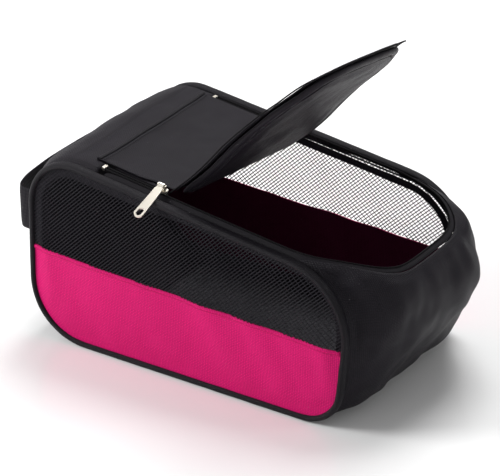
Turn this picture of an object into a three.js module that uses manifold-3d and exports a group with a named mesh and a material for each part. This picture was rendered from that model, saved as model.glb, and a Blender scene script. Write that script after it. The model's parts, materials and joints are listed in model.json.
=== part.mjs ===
// Golf shoe bag: a soft box with mesh-topped side panels and a lid that unzips on three sides.
// Millimetres, +Z up, +X towards the toe, -Y the near side. The origin is the middle of the base.
import * as THREE from 'three';
import { mergeVertices } from 'three/addons/utils/BufferGeometryUtils.js';
import Module from 'manifold-3d';

// ---- overall sizes: the side profile is a four-cornered shape with rounded corners ----
const BASE_LENGTH = 334;
const WIDTH = 210;
const HEEL_HEIGHT = 192;
const TOE_HEIGHT = 147;
const HEEL_LEAN = 6;
const TOE_LEAN = 16;
const HEEL_BOTTOM_RADIUS = 57;
const HEEL_TOP_RADIUS = 49;
const TOE_TOP_RADIUS = 66;
const TOE_BOTTOM_RADIUS = 41;

// ---- the toe end is bowed forward between the side panels ----
const TOE_BOW = 38;
const TOE_BASE_BOW = 1;
const TOE_BOW_RADIUS = 50;
const TOE_BOW_START_X = 225;
const TOE_BOW_POWER = 3.4;

// ---- fabric and edges ----
const WALL = 2.4;
const SIDE_THICKNESS = 3;
const SIDE_RECESS = 2;
const BINDING_SIZE = 9;
const BINDING_BEVEL = 2.8;
const SEAM_DEPTH = 4;
const SHOULDER = 6;
const TOP_CROWN = 2;
const HEEL_BULGE = 4;
const TOE_BULGE = 11;
const TOE_BULGE_RISE = 0.62;
const TOE_SHOULDER = 20;
const PANEL_SEAM_HEEL = 94;
const PANEL_SEAM_TOE = 80;
const SEAM_tapeWidth = 8;
const SEAM_TAPE_THICKNESS = 1.2;
const SEAM_TAPE_GAP = 1.4;
const BASE_BOARD = 2.5;
const BOARD_MARGIN = 8;

// ---- lid and zip ----
const ZIP_INSET = 18;
const ZIP_CORNER_RADIUS = 52;
const HEEL_SEAM_X = 78;
const NEAR_FOLD_X = 148;
const FAR_FOLD_X = 174;
const RIM_DROP_ANGLE = 30;
const TAPE_THICKNESS = 0.8;
const TAPE_DEPTH = 0.8;
const TEETH_WIDTH = 2;
const TEETH_HALF_GAP = 0.8;
const TEETH_THICKNESS = 2.4;
const TEETH_DEPTH = 0.2;
const END_STOP = 3;
const RIM_BINDING_START = 3.4;
const RIM_BINDING_THICKNESS = 1.2;
const RIM_BINDING_GAP = 1.1;
const LID_PANEL = 1.4;
const LID_FOAM = 5;
const LID_LINING = 1.2;
const LID_EDGE = 11;
const LID_OPEN_ANGLE = 53;

// ---- sliders and pulls ----
const SLIDER_LENGTH = 12;
const SLIDER_WIDTH = 8.6;
const SLIDER_NOSE = 5.8;
const SLIDER_PLATE = 1.6;
const SLIDER_BLADE_LENGTH = 6;
const SLIDER_BLADE = 0.7;
const BRIDGE_SPAN = 6.4;
const BRIDGE_POST = 1.3;
const BRIDGE_WIDTH = 2.4;
const BAR_RADIUS = 0.9;
const BAR_HEIGHT = 3.6;
const PULL_LENGTH = 40;
const PULL_HEAD = 5.6;
const PULL_WIDTH = 9.6;
const PULL_THICKNESS = 1.6;
const PULL_HOLE_WIDTH = 5.2;
const PULL_HOLE_LENGTH = 8.4;
const EYE_WALL = 1.1;
const EYE_PLAY = 0.45;

// ---- handle ----
const HANDLE_WIDTH = 41;
const HANDLE_CENTRE = 118;
const HANDLE_THICKNESS = 3;
const HANDLE_BOW = 30;
const HANDLE_END_WIDTH = 6;
const HANDLE_FLARE = 2.4;
const HANDLE_SQUARENESS = 0.42;
const HANDLE_SEAM_MARGIN = 8;
const ANCHOR_THICKNESS = 1.2;
const ANCHOR_GAP = 0.8;
const ANCHOR_LENGTH = 11;

// ---- clearances ----
const GAP = 0.4;
const FOLD_GAP = 0.5;
const SLIDER_PLAY = 0.4;
const SWING_GAP = 1.3;

const degrees = Math.PI / 180;
const centreX = BASE_LENGTH / 2;
const halfWidth = WIDTH / 2;
const wallEdge = halfWidth - BINDING_SIZE - GAP;
const zipY = halfWidth - ZIP_INSET;
const tapeWidth = wallEdge - zipY;
const topFall = (HEEL_HEIGHT - TOE_HEIGHT) / (BASE_LENGTH + TOE_LEAN - HEEL_LEAN);

// ---- side profile, as rounded corners joined by straight runs, measured along its length ----
// The bow goes from 0 beside the side panels to 1 in the middle of the bag.
function buildProfile(bow) {
  const corners = [
    { x: 0, z: 0, r: HEEL_BOTTOM_RADIUS },
    { x: HEEL_LEAN, z: HEEL_HEIGHT, r: HEEL_TOP_RADIUS },
    { x: BASE_LENGTH + TOE_LEAN + bow * TOE_BOW, z: TOE_HEIGHT - bow * TOE_BOW * topFall,
      r: THREE.MathUtils.lerp(TOE_TOP_RADIUS, TOE_BOW_RADIUS, bow) },
    { x: BASE_LENGTH + bow * TOE_BASE_BOW, z: 0, r: TOE_BOTTOM_RADIUS },
  ];
  const pieces = [];
  let length = 0;
  const tangentPoints = corners.map((corner, k) => {
    const before = corners[(k + 3) % 4];
    const after = corners[(k + 1) % 4];
    const point = new THREE.Vector2(corner.x, corner.z);
    const back = new THREE.Vector2(before.x, before.z).sub(point).normalize();
    const ahead = new THREE.Vector2(after.x, after.z).sub(point).normalize();
    const inside = Math.acos(back.dot(ahead));
    const reach = corner.r / Math.tan(inside / 2);
    const bisector = back.clone().add(ahead).normalize();
    const centre = point.clone().addScaledVector(bisector, corner.r / Math.sin(inside / 2));
    return {
      start: point.clone().addScaledVector(back, reach),
      end: point.clone().addScaledVector(ahead, reach),
      centre,
      radius: corner.r,
      turn: Math.PI - inside,
    };
  });
  tangentPoints.forEach((corner, k) => {
    pieces.push({ kind: 'arc', corner, from: length, length: corner.radius * corner.turn });
    length += corner.radius * corner.turn;
    const next = tangentPoints[(k + 1) % 4];
    const run = next.start.clone().sub(corner.end);
    pieces.push({ kind: 'line', start: corner.end, direction: run.clone().normalize(),
      from: length, length: run.length() });
    length += run.length();
  });
  return { pieces, length };
}

const profile = buildProfile(0);
const [heelBottomArc, heelLine, heelTopArc, topLine, toeTopArc, toeLine, toeBottomArc, baseLine] =
  profile.pieces;

// Point and outward normal at a distance along one piece of a profile.
function pointOnPiece(piece, along) {
  if (piece.kind === 'line') {
    const { start, direction } = piece;
    return { x: start.x + direction.x * along, z: start.y + direction.y * along,
      nx: -direction.y, nz: direction.x };
  }
  const { start, centre, radius } = piece.corner;
  const angle = Math.atan2(start.y - centre.y, start.x - centre.x) - along / radius;
  const nx = Math.cos(angle);
  const nz = Math.sin(angle);
  return { x: centre.x + radius * nx, z: centre.y + radius * nz, nx, nz };
}

// Point and normal at the length s, measured along the side panels' own profile.
// Further across the bag the toe's pieces are longer, and s is stretched over them.
function profileAt(s, bow = 0) {
  const wrapped = ((s % profile.length) + profile.length) % profile.length;
  const found = profile.pieces.findIndex((p) => wrapped <= p.from + p.length);
  const k = found < 0 ? profile.pieces.length - 1 : found;
  const piece = profile.pieces[k];
  const along = wrapped - piece.from;
  if (bow === 0) {
    return pointOnPiece(piece, along);
  }
  const bowed = buildProfile(bow).pieces[k];
  if (piece !== topLine) {
    return pointOnPiece(bowed, (along / piece.length) * bowed.length);
  }
  const still = bowStartS - piece.from;
  const stretch = (bowed.length - still) / (piece.length - still);
  return pointOnPiece(bowed, along <= still ? along : still + (along - still) * stretch);
}

const smooth = (t) => THREE.MathUtils.smoothstep(t, 0, 1);
const endOf = (piece) => piece.from + piece.length;
const topLineAtX = (x) => topLine.from + (x - topLine.start.x) / topLine.direction.x;

const bowStartS = topLineAtX(TOE_BOW_START_X);
const heelSeamS = topLineAtX(HEEL_SEAM_X);
const nearFoldS = topLineAtX(NEAR_FOLD_X);
const farFoldS = topLineAtX(FAR_FOLD_X);
const foldSlope = (farFoldS - nearFoldS) / (2 * zipY);
const foldAt = (y) => (nearFoldS + farFoldS) / 2 + foldSlope * y;
const rimS = toeTopArc.from + TOE_TOP_RADIUS * RIM_DROP_ANGLE * degrees;
const zipCornerS = rimS - ZIP_CORNER_RADIUS;

// How far the cloth stands out from the side profile, at s along it and y across it.
function bulge(s, y) {
  const edgeDistance = wallEdge - Math.abs(y);
  const shoulder = smooth(edgeDistance / SHOULDER);
  const heel = HEEL_BULGE * Math.sin(Math.PI * THREE.MathUtils.clamp(s / heelTopArc.from, 0, 1));
  const onTop = smooth((s - heelTopArc.from) / heelTopArc.length)
    * (1 - smooth((s - toeTopArc.from) / toeTopArc.length));
  const toeStart = toeTopArc.from;
  const toeRun = THREE.MathUtils.clamp((s - toeStart) / (endOf(toeBottomArc) - toeStart), 0, 1);
  const toe = TOE_BULGE * Math.sin(Math.PI * toeRun ** TOE_BULGE_RISE) ** 2
    * smooth(edgeDistance / TOE_SHOULDER);
  const raised = TOP_CROWN * onTop + (s < heelTopArc.from ? heel : 0);
  return shoulder * raised - SEAM_DEPTH * (1 - shoulder) + toe;
}

// Point at s along the profile, y across the bag and a depth inside the cloth's outer face.
function surfacePoint(s, y, depth) {
  const bow = 1 - Math.min(1, Math.abs(y) / wallEdge) ** TOE_BOW_POWER;
  const p = profileAt(s, bow);
  const out = bulge(s, y) - depth;
  return new THREE.Vector3(p.x + p.nx * out - centreX, y, p.z + p.nz * out);
}

// ---- solids ----
function closedGeometry(positions, index) {
  const geometry = new THREE.BufferGeometry();
  geometry.setAttribute('position', new THREE.Float32BufferAttribute(positions, 3));
  let volume = 0;
  const corner = (k) => new THREE.Vector3().fromArray(positions, index[k] * 3);
  for (let k = 0; k < index.length; k += 3) {
    volume += corner(k).dot(corner(k + 1).cross(corner(k + 2)));
  }
  geometry.setIndex(volume < 0 ? index.slice().reverse() : index);
  geometry.computeVertexNormals();
  return geometry;
}

// A sheet with thickness: a grid of rows and columns on its outer and inner faces, closed round.
function slab(rowCount, columnCount, pointAt) {
  const positions = [];
  const index = [];
  for (const inner of [0, 1]) {
    for (let i = 0; i <= rowCount; i += 1) {
      for (let j = 0; j <= columnCount; j += 1) {
        positions.push(...pointAt(i, j, inner).toArray());
      }
    }
  }
  const layer = (rowCount + 1) * (columnCount + 1);
  const id = (i, j, inner) => inner * layer + i * (columnCount + 1) + j;
  const quad = (a, b, c, d) => index.push(a, b, c, a, c, d);
  for (let i = 0; i < rowCount; i += 1) {
    for (let j = 0; j < columnCount; j += 1) {
      quad(id(i, j, 0), id(i + 1, j, 0), id(i + 1, j + 1, 0), id(i, j + 1, 0));
      quad(id(i, j, 1), id(i, j + 1, 1), id(i + 1, j + 1, 1), id(i + 1, j, 1));
    }
    quad(id(i, 0, 0), id(i, 0, 1), id(i + 1, 0, 1), id(i + 1, 0, 0));
    quad(id(i, columnCount, 0), id(i + 1, columnCount, 0),
      id(i + 1, columnCount, 1), id(i, columnCount, 1));
  }
  for (let j = 0; j < columnCount; j += 1) {
    quad(id(0, j, 0), id(0, j + 1, 0), id(0, j + 1, 1), id(0, j, 1));
    quad(id(rowCount, j + 1, 0), id(rowCount, j, 0), id(rowCount, j, 1), id(rowCount, j + 1, 1));
  }
  return closedGeometry(positions, index);
}

// Values from a to b in even steps no longer than the given one.
function steps(a, b, longest) {
  const count = Math.max(1, Math.ceil(Math.abs(b - a) / longest));
  return Array.from({ length: count + 1 }, (_, k) => a + ((b - a) * k) / count);
}

function joinLists(...lists) {
  return lists.flatMap((list, k) => (k === 0 ? list : list.slice(1)));
}

// A panel of cloth that covers the profile from s0 to s1, between y0 and y1.
function clothPanel(sList, yList, depth, thickness) {
  return slab(sList.length - 1, yList.length - 1, (i, j, inner) =>
    surfacePoint(sList[i], yList[j], depth + inner * thickness));
}

const wasm = await Module();
wasm.setup();

function toManifold(geometry) {
  const bare = geometry.clone();
  bare.deleteAttribute('normal');
  bare.deleteAttribute('uv');
  const merged = mergeVertices(bare, 1e-4);
  return new wasm.Manifold(new wasm.Mesh({
    numProp: 3,
    vertProperties: new Float32Array(merged.attributes.position.array),
    triVerts: new Uint32Array(merged.index.array),
  }));
}

function union(...geometries) {
  const solid = geometries.map(toManifold).reduce((a, b) => a.add(b));
  const mesh = solid.getMesh();
  return closedGeometry(Array.from(mesh.vertProperties), Array.from(mesh.triVerts));
}

const group = new THREE.Group();

function addMesh(parent, name, geometry, color, roughness, metalness = 0) {
  const material = new THREE.MeshStandardMaterial({ color, roughness, metalness });
  const mesh = new THREE.Mesh(geometry, material);
  mesh.name = name;
  parent.add(mesh);
  return mesh;
}

const BLACK_CLOTH = 0x29262b;
const PINK_CLOTH = 0xf02a78;
const MESH_CLOTH = 0x1d1b20;
const LINING = 0x37343a;
const WEBBING = 0x2f2c32;
const METAL = 0xcfc7b8;

const shoulderY = wallEdge - SHOULDER;
const wallColumns = joinLists(
  steps(-wallEdge, -shoulderY, SHOULDER / 3),
  steps(-shoulderY, shoulderY, WIDTH / 5),
  steps(shoulderY, wallEdge, SHOULDER / 3),
);

// ---- base, heel wall and the panel behind the fold ----
const baseRows = steps(baseLine.from + GAP, profile.length - GAP, BASE_LENGTH / 3);
addMesh(group, 'base_panel', clothPanel(baseRows, wallColumns, 0, WALL), BLACK_CLOTH, 0.9);

function baseBoard() {
  const length = baseLine.length - 2 * BOARD_MARGIN;
  const width = 2 * (shoulderY - BOARD_MARGIN);
  const geometry = new THREE.BoxGeometry(length, width, BASE_BOARD);
  const middle = profileAt(baseLine.from + baseLine.length / 2);
  geometry.translate(middle.x - centreX, 0, WALL + GAP + BASE_BOARD / 2);
  return geometry;
}
addMesh(group, 'base_board', baseBoard(), 0x3a383d, 0.7);

const heelRows = joinLists(
  steps(GAP, heelTopArc.from, 12),
  steps(heelTopArc.from, topLine.from, 8),
  [topLine.from, heelSeamS - GAP],
);
addMesh(group, 'heel_wall', clothPanel(heelRows, wallColumns, 0, WALL), BLACK_CLOTH, 0.9);

const tapeInner = zipY - tapeWidth - GAP;
addMesh(group, 'rear_top_panel', slab(1, 1, (i, j, inner) => {
  const y = j === 0 ? -tapeInner : tapeInner;
  return surfacePoint(i === 0 ? heelSeamS + GAP : foldAt(y) - FOLD_GAP, y, inner * WALL);
}), BLACK_CLOTH, 0.9);

// ---- toe wall, from the rounded end of the zip down to the base ----
// Length along the profile where a line at distance e outside the zip line crosses y.
function rimAt(y, e) {
  const radius = ZIP_CORNER_RADIUS + e;
  const intoCorner = Math.abs(y) - (zipY - ZIP_CORNER_RADIUS);
  if (intoCorner <= 0) {
    return rimS + e;
  }
  return zipCornerS + Math.sqrt(Math.max(0, radius * radius - intoCorner * intoCorner));
}

// Positions across a rounded lid end, closer together where the corner turns away.
function cornerColumns(e) {
  const radius = ZIP_CORNER_RADIUS + e;
  const centre = zipY - ZIP_CORNER_RADIUS;
  const last = Math.asin(Math.min(1, (wallEdge - centre) / radius));
  return steps(0, last, 10 * degrees).map((a) => centre + radius * Math.sin(a));
}

function toeWall() {
  const e = tapeWidth + GAP;
  const half = joinLists(steps(0, zipY - ZIP_CORNER_RADIUS, 15), cornerColumns(e));
  const columns = [...half.map((y) => -y).reverse().slice(0, -1), ...half];
  const lowest = baseLine.from - GAP;
  const rows = 15;
  return slab(rows, columns.length - 1, (i, j, inner) => {
    const y = columns[j];
    const top = rimAt(y, e);
    return surfacePoint(top + ((lowest - top) * i) / rows, y, inner * WALL);
  });
}
addMesh(group, 'toe_wall', toeWall(), BLACK_CLOTH, 0.9);

// ---- zip line: straight along the near side, round the toe and back along the far side ----
const zipHeelS = heelSeamS + GAP + END_STOP + GAP;
const cornerCentreY = zipY - ZIP_CORNER_RADIUS;

function zipStations(nearS, farS) {
  const stations = steps(nearS, zipCornerS, 30).map((s) => ({ s, y: -zipY, ns: 0, ny: -1 }));
  const corner = steps(0, 90, 9).map((a) => ({ ns: Math.sin(a * degrees), ny: -Math.cos(a * degrees) }));
  const around = ({ ns, ny }, centreY) => ({ s: zipCornerS + ZIP_CORNER_RADIUS * ns,
    y: centreY + ZIP_CORNER_RADIUS * ny, ns, ny });
  corner.slice(1).forEach((c) => stations.push(around(c, -cornerCentreY)));
  steps(-cornerCentreY, cornerCentreY, 10).slice(1, -1).forEach((y) =>
    stations.push({ s: rimS, y, ns: 1, ny: 0 }));
  corner.reverse().forEach((c) => stations.push(around({ ns: c.ns, ny: -c.ny }, cornerCentreY)));
  steps(zipCornerS, farS, 30).slice(1).forEach((s) => stations.push({ s, y: zipY, ns: 0, ny: 1 }));
  return stations;
}

// A ribbon that follows the zip line between two distances outside it (negative is the lid's side).
// It starts behind the sliders, or on the fold line with its ends cut to the fold's slant.
function zipRibbon(atFold, inside, outside, depth, thickness) {
  const stations = atFold ? zipStations(nearFoldS, farFoldS) : zipStations(zipHeelS, zipHeelS);
  const last = stations.length - 1;
  return slab(last, 1, (i, j, inner) => {
    const { s, y, ns, ny } = stations[i];
    const e = j === 0 ? inside : outside;
    const across = y + ny * e;
    const along = atFold && (i === 0 || i === last) ? foldAt(across) + FOLD_GAP : s + ns * e;
    return surfacePoint(along, across, depth + inner * thickness);
  });
}

// A straight ribbon beside the closed part of the zip, on the near (-1) or far (+1) side.
function rearRibbon(side, inside, outside, depth, thickness) {
  return slab(1, 1, (i, j, inner) => {
    const y = side * (zipY + (j === 0 ? inside : outside));
    return surfacePoint(i === 0 ? zipHeelS : foldAt(y) - FOLD_GAP, y, depth + inner * thickness);
  });
}

const teethOuter = TEETH_HALF_GAP + TEETH_WIDTH;
const tapeStart = teethOuter + GAP;
addMesh(group, 'body_zip_tape',
  zipRibbon(false, tapeStart, tapeWidth, TAPE_DEPTH, TAPE_THICKNESS), 0x232126, 0.85);
addMesh(group, 'body_zip_teeth',
  zipRibbon(false, TEETH_HALF_GAP, teethOuter, TEETH_DEPTH, TEETH_THICKNESS), 0x17161a, 0.45);
const rimBindingOuter = tapeWidth - SEAM_TAPE_THICKNESS - 2 * GAP;
addMesh(group, 'opening_binding',
  zipRibbon(true, RIM_BINDING_START, rimBindingOuter, WALL + RIM_BINDING_GAP,
    RIM_BINDING_THICKNESS), LINING, 0.95);

for (const [name, side] of [['near', -1], ['far', 1]]) {
  addMesh(group, `${name}_rear_zip_tape`,
    rearRibbon(side, -tapeStart, -tapeWidth, TAPE_DEPTH, TAPE_THICKNESS), 0x232126, 0.85);
  addMesh(group, `${name}_rear_zip_teeth`,
    rearRibbon(side, -TEETH_HALF_GAP, -teethOuter, TEETH_DEPTH, TEETH_THICKNESS), 0x17161a, 0.45);
  addMesh(group, `${name}_end_stop`,
    clothPanel([heelSeamS + GAP, heelSeamS + GAP + END_STOP],
      [side * (zipY - teethOuter), side * (zipY + teethOuter)], TEETH_DEPTH, TEETH_THICKNESS),
    METAL, 0.35, 1);
}

// ---- side panels: a cloth lower half and a mesh upper half, inside a rounded edge binding ----
function insetOutline(inset) {
  const stations = joinLists(...profile.pieces.map((p) =>
    steps(p.from, endOf(p), p.kind === 'arc' ? p.length / 8 : p.length)));
  return stations.slice(0, -1).map((s) => {
    const p = profileAt(s);
    return new THREE.Vector2(p.x - p.nx * inset - centreX, p.z - p.nz * inset);
  });
}

const seamHeightAt = (x) => PANEL_SEAM_HEEL
  + ((PANEL_SEAM_TOE - PANEL_SEAM_HEEL) * (x + centreX)) / BASE_LENGTH;

// The part of an outline above (+1) or below (-1) the seam between the two halves of a side.
function cutAtSeam(outline, half) {
  const height = (p) => half * (p.y - seamHeightAt(p.x)) - GAP / 2;
  const kept = [];
  outline.forEach((p, k) => {
    const next = outline[(k + 1) % outline.length];
    const here = height(p);
    const there = height(next);
    if (here > 0) {
      kept.push(p);
    }
    if (here > 0 !== there > 0) {
      kept.push(p.clone().lerp(next, here / (here - there)));
    }
  });
  return kept;
}

// Extrudes a flat outline in the XZ plane, from y0 towards +Y.
function sidePlate(shape, y0, thickness) {
  const geometry = new THREE.ExtrudeGeometry(shape, { depth: thickness, bevelEnabled: false });
  geometry.rotateX(Math.PI / 2);
  geometry.translate(0, y0 + thickness, 0);
  const bare = geometry.clone();
  bare.deleteAttribute('normal');
  bare.deleteAttribute('uv');
  const merged = mergeVertices(bare, 1e-4);
  merged.computeVertexNormals();
  return merged;
}

// A band that runs round the whole side profile; its section is a list of depth and y pairs.
function profileBand(section) {
  const stations = joinLists(...profile.pieces.map((p) =>
    steps(p.from, endOf(p), p.kind === 'arc' ? p.length / 9 : p.length))).slice(0, -1);
  const positions = stations.flatMap((s) => {
    const p = profileAt(s);
    return section.flatMap(([depth, y]) =>
      [p.x - p.nx * depth - centreX, y, p.z - p.nz * depth]);
  });
  const sides = section.length;
  const index = [];
  stations.forEach((_, i) => {
    const next = (i + 1) % stations.length;
    section.forEach((__, j) => {
      const after = (j + 1) % sides;
      index.push(i * sides + j, next * sides + j, next * sides + after);
      index.push(i * sides + j, next * sides + after, i * sides + after);
    });
  });
  return closedGeometry(positions, index);
}

// Edge binding: a band of rounded-square section, with its outer corner at the bag's edge.
function edgeBinding(outerY, side) {
  const half = BINDING_SIZE / 2;
  const straight = half - BINDING_BEVEL;
  const section = [45, 135, 225, 315].flatMap((corner) => {
    const cx = straight * Math.sign(Math.cos(corner * degrees));
    const cy = straight * Math.sign(Math.sin(corner * degrees));
    return [corner - 45, corner, corner + 45].map((a) => [
      half + cx + BINDING_BEVEL * Math.cos(a * degrees),
      outerY - side * (half + cy + BINDING_BEVEL * Math.sin(a * degrees)),
    ]);
  });
  return profileBand(section);
}

function seamTape(y0, y1) {
  const outer = SEAM_DEPTH + WALL + SEAM_TAPE_GAP;
  const inner = outer + SEAM_tapeWidth;
  return profileBand([[outer, y0], [outer, y1], [inner, y1], [inner, y0]]);
}

function sideParts(name, side) {
  const from = (distance, thickness) => (side < 0 ? -halfWidth + distance
    : halfWidth - distance - thickness);
  const outline = insetOutline(BINDING_SIZE + GAP);
  const lower = new THREE.Shape(cutAtSeam(outline, -1));
  const upper = new THREE.Shape(cutAtSeam(outline, 1));
  const y = from(SIDE_RECESS, SIDE_THICKNESS);
  addMesh(group, `${name}_side_panel`, sidePlate(lower, y, SIDE_THICKNESS), PINK_CLOTH, 0.8);
  addMesh(group, `${name}_mesh_panel`, sidePlate(upper, y, SIDE_THICKNESS), MESH_CLOTH, 0.8);
  addMesh(group, `${name}_edge_binding`, edgeBinding(side * halfWidth, side), BLACK_CLOTH, 0.85);
  const tapeY = side * (wallEdge - GAP);
  addMesh(group, `${name}_seam_tape`, seamTape(tapeY, tapeY - side * SEAM_TAPE_THICKNESS),
    LINING, 0.95);
}
sideParts('near', -1);
sideParts('far', 1);

// ---- lid: hinged where the cloth folds, drawn closed and then swung open ----
const foldPoint = surfacePoint(foldAt(0), 0, 0);
const foldAxis = surfacePoint(foldAt(zipY), zipY, 0).sub(surfacePoint(foldAt(-zipY), -zipY, 0)).normalize();
const lidHinge = new THREE.Group();
lidHinge.position.copy(foldPoint);
lidHinge.quaternion.setFromAxisAngle(foldAxis, -LID_OPEN_ANGLE * degrees);
const lid = new THREE.Group();
lid.position.copy(foldPoint).negate();
lidHinge.add(lid);
group.add(lidHinge);

// A sheet of the lid, at a distance inside the zip line, from the fold to the rounded toe end.
function lidSheet(insideZip, depth, thickness) {
  const cornerRadius = ZIP_CORNER_RADIUS - insideZip;
  const straightRows = 5;
  const cornerRows = steps(0, 90, 10).map((a) => cornerRadius * Math.sin(a * degrees)).slice(1);
  const halfAt = (past) => (past <= 0 ? zipY - insideZip
    : cornerCentreY + Math.sqrt(Math.max(0, cornerRadius ** 2 - past ** 2)));
  const columns = steps(-1, 1, 0.125);
  return slab(straightRows + cornerRows.length, columns.length - 1, (i, j, inner) => {
    const past = i <= straightRows ? 0 : cornerRows[i - straightRows - 1];
    const y = columns[j] * halfAt(past);
    const start = foldAt(y) + FOLD_GAP;
    const along = i <= straightRows ? start + ((zipCornerS - start) * i) / straightRows
      : zipCornerS + past;
    return surfacePoint(along, y, depth + inner * thickness);
  });
}

const lidEdgeInside = tapeWidth + GAP;
const liningInside = lidEdgeInside + LID_EDGE + GAP;
const foamDepth = LID_PANEL + GAP;
const liningDepth = foamDepth + LID_FOAM + GAP;
addMesh(lid, 'lid_panel', lidSheet(lidEdgeInside, 0, LID_PANEL), BLACK_CLOTH, 0.9);
addMesh(lid, 'lid_foam', lidSheet(liningInside, foamDepth, LID_FOAM), 0x4b494e, 1);
addMesh(lid, 'lid_lining', lidSheet(liningInside, liningDepth, LID_LINING), LINING, 0.9);
addMesh(lid, 'lid_edge_binding',
  zipRibbon(true, -(lidEdgeInside + LID_EDGE), -lidEdgeInside, foamDepth,
    LID_FOAM + GAP + LID_LINING), LINING, 0.9);
addMesh(lid, 'lid_zip_tape',
  zipRibbon(true, -tapeWidth, -tapeStart, TAPE_DEPTH, TAPE_THICKNESS), 0x232126, 0.85);
addMesh(lid, 'lid_zip_teeth',
  zipRibbon(true, -teethOuter, -TEETH_HALF_GAP, TEETH_DEPTH, TEETH_THICKNESS), 0x17161a, 0.45);

// ---- zip sliders and their pulls ----
const topSlope = Math.atan2(-topLine.direction.y, topLine.direction.x);
const sliderReach = SLIDER_LENGTH / 2 + FOLD_GAP + (foldSlope * SLIDER_WIDTH) / 2;
const plateTop = SLIDER_PLAY + SLIDER_PLATE - TEETH_DEPTH;
const plateBottom = -(TEETH_DEPTH + TEETH_THICKNESS + SLIDER_PLAY + SLIDER_PLATE);
const barZ = plateTop + BAR_HEIGHT;

function box(length, width, height, x, y, z) {
  return new THREE.BoxGeometry(length, width, height).translate(x, y, z);
}

// Slider plate: widest at the shoulders, drawn in towards the tail and rounded at the nose.
function sliderPlate(z) {
  const half = SLIDER_LENGTH / 2;
  const wide = SLIDER_WIDTH / 2;
  const nose = SLIDER_NOSE / 2;
  const shape = new THREE.Shape();
  shape.moveTo(-half, -nose);
  shape.lineTo(half * 0.1, -wide);
  shape.quadraticCurveTo(half, -wide, half, -nose * 0.4);
  shape.lineTo(half, nose * 0.4);
  shape.quadraticCurveTo(half, wide, half * 0.1, wide);
  shape.lineTo(-half, nose);
  shape.closePath();
  const geometry = new THREE.ExtrudeGeometry(shape, { depth: SLIDER_PLATE, bevelEnabled: false,
    curveSegments: 5 });
  geometry.translate(0, 0, z);
  return geometry;
}

function sliderBody() {
  const blade = box(SLIDER_BLADE_LENGTH, SLIDER_BLADE, plateTop - plateBottom - SLIDER_PLATE,
    0, 0, (plateTop + plateBottom) / 2);
  const postHeight = BAR_HEIGHT + BAR_RADIUS + SLIDER_PLATE / 2;
  const postZ = plateTop + BAR_HEIGHT + BAR_RADIUS - postHeight / 2;
  const postX = BRIDGE_SPAN / 2 + BRIDGE_POST / 2;
  const bar = new THREE.CylinderGeometry(BAR_RADIUS, BAR_RADIUS, BRIDGE_SPAN + BRIDGE_POST, 10);
  bar.rotateZ(Math.PI / 2);
  bar.translate(0, 0, barZ);
  return union(sliderPlate(plateTop - SLIDER_PLATE), sliderPlate(plateBottom), blade,
    box(BRIDGE_POST, BRIDGE_WIDTH, postHeight, -postX, 0, postZ),
    box(BRIDGE_POST, BRIDGE_WIDTH, postHeight, postX, 0, postZ), bar);
}

// Pull: a flat tab that hangs from an eye round the slider's bar, drawn pointing along +Y.
function pullTab() {
  const eyeInner = BAR_RADIUS + EYE_PLAY;
  const eyeOuter = eyeInner + EYE_WALL;
  const eye = new THREE.Shape();
  eye.absarc(0, 0, eyeOuter, 0, 2 * Math.PI, false);
  const eyeHole = new THREE.Path();
  eyeHole.absarc(0, 0, eyeInner, 0, 2 * Math.PI, true);
  eye.holes.push(eyeHole);
  const ringGeometry = new THREE.ExtrudeGeometry(eye, { depth: PULL_HEAD, bevelEnabled: false,
    curveSegments: 8 });
  ringGeometry.rotateY(Math.PI / 2);
  ringGeometry.translate(-PULL_HEAD / 2, 0, 0);
  const start = eyeInner + EYE_WALL / 2;
  const wide = PULL_WIDTH / 2;
  const head = PULL_HEAD / 2;
  const tab = new THREE.Shape();
  tab.moveTo(-head, start);
  tab.lineTo(head, start);
  tab.quadraticCurveTo(wide * 0.8, start + 2, wide * 0.82, start + 7);
  tab.lineTo(wide, PULL_LENGTH - wide);
  tab.absarc(0, PULL_LENGTH - wide, wide, 0, Math.PI, false);
  tab.lineTo(-wide * 0.82, start + 7);
  tab.quadraticCurveTo(-wide * 0.8, start + 2, -head, start);
  const hole = new THREE.Path();
  const holeRadius = PULL_HOLE_WIDTH / 2;
  const holeReach = (PULL_HOLE_LENGTH - PULL_HOLE_WIDTH) / 2;
  const holeCentre = PULL_LENGTH - wide - holeReach * 0.6;
  hole.absarc(0, holeCentre + holeReach, holeRadius, 0, Math.PI, false);
  hole.absarc(0, holeCentre - holeReach, holeRadius, Math.PI, 2 * Math.PI, false);
  tab.holes.push(hole);
  const plate = new THREE.ExtrudeGeometry(tab, { depth: PULL_THICKNESS, bevelEnabled: false,
    curveSegments: 8 });
  plate.translate(0, 0, -PULL_THICKNESS / 2);
  return union(ringGeometry, plate);
}

// Angle below level at which a pull comes to rest on the rounded side binding.
function pullRestAngle() {
  const across = zipY - (halfWidth - BINDING_SIZE / 2);
  const drop = barZ + TOP_CROWN + BINDING_SIZE / 2;
  const reach = Math.hypot(across, drop);
  const standOff = BINDING_SIZE / 2 + PULL_THICKNESS / 2 + GAP;
  return Math.atan2(drop, -across) - Math.asin(standOff / reach);
}

for (const [name, side] of [['near', -1], ['far', 1]]) {
  const seat = new THREE.Group();
  seat.position.copy(surfacePoint(foldAt(side * zipY) - sliderReach, side * zipY, 0));
  seat.rotation.y = topSlope;
  addMesh(seat, `${name}_slider`, sliderBody(), METAL, 0.35, 1);
  const swing = new THREE.Group();
  swing.position.set(0, 0, barZ);
  swing.rotation.x = side > 0 ? -pullRestAngle() : pullRestAngle();
  const pull = addMesh(swing, `${name}_pull`, pullTab(), METAL, 0.35, 1);
  pull.rotation.z = side > 0 ? 0 : Math.PI;
  seat.add(swing);
  group.add(seat);
}

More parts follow.
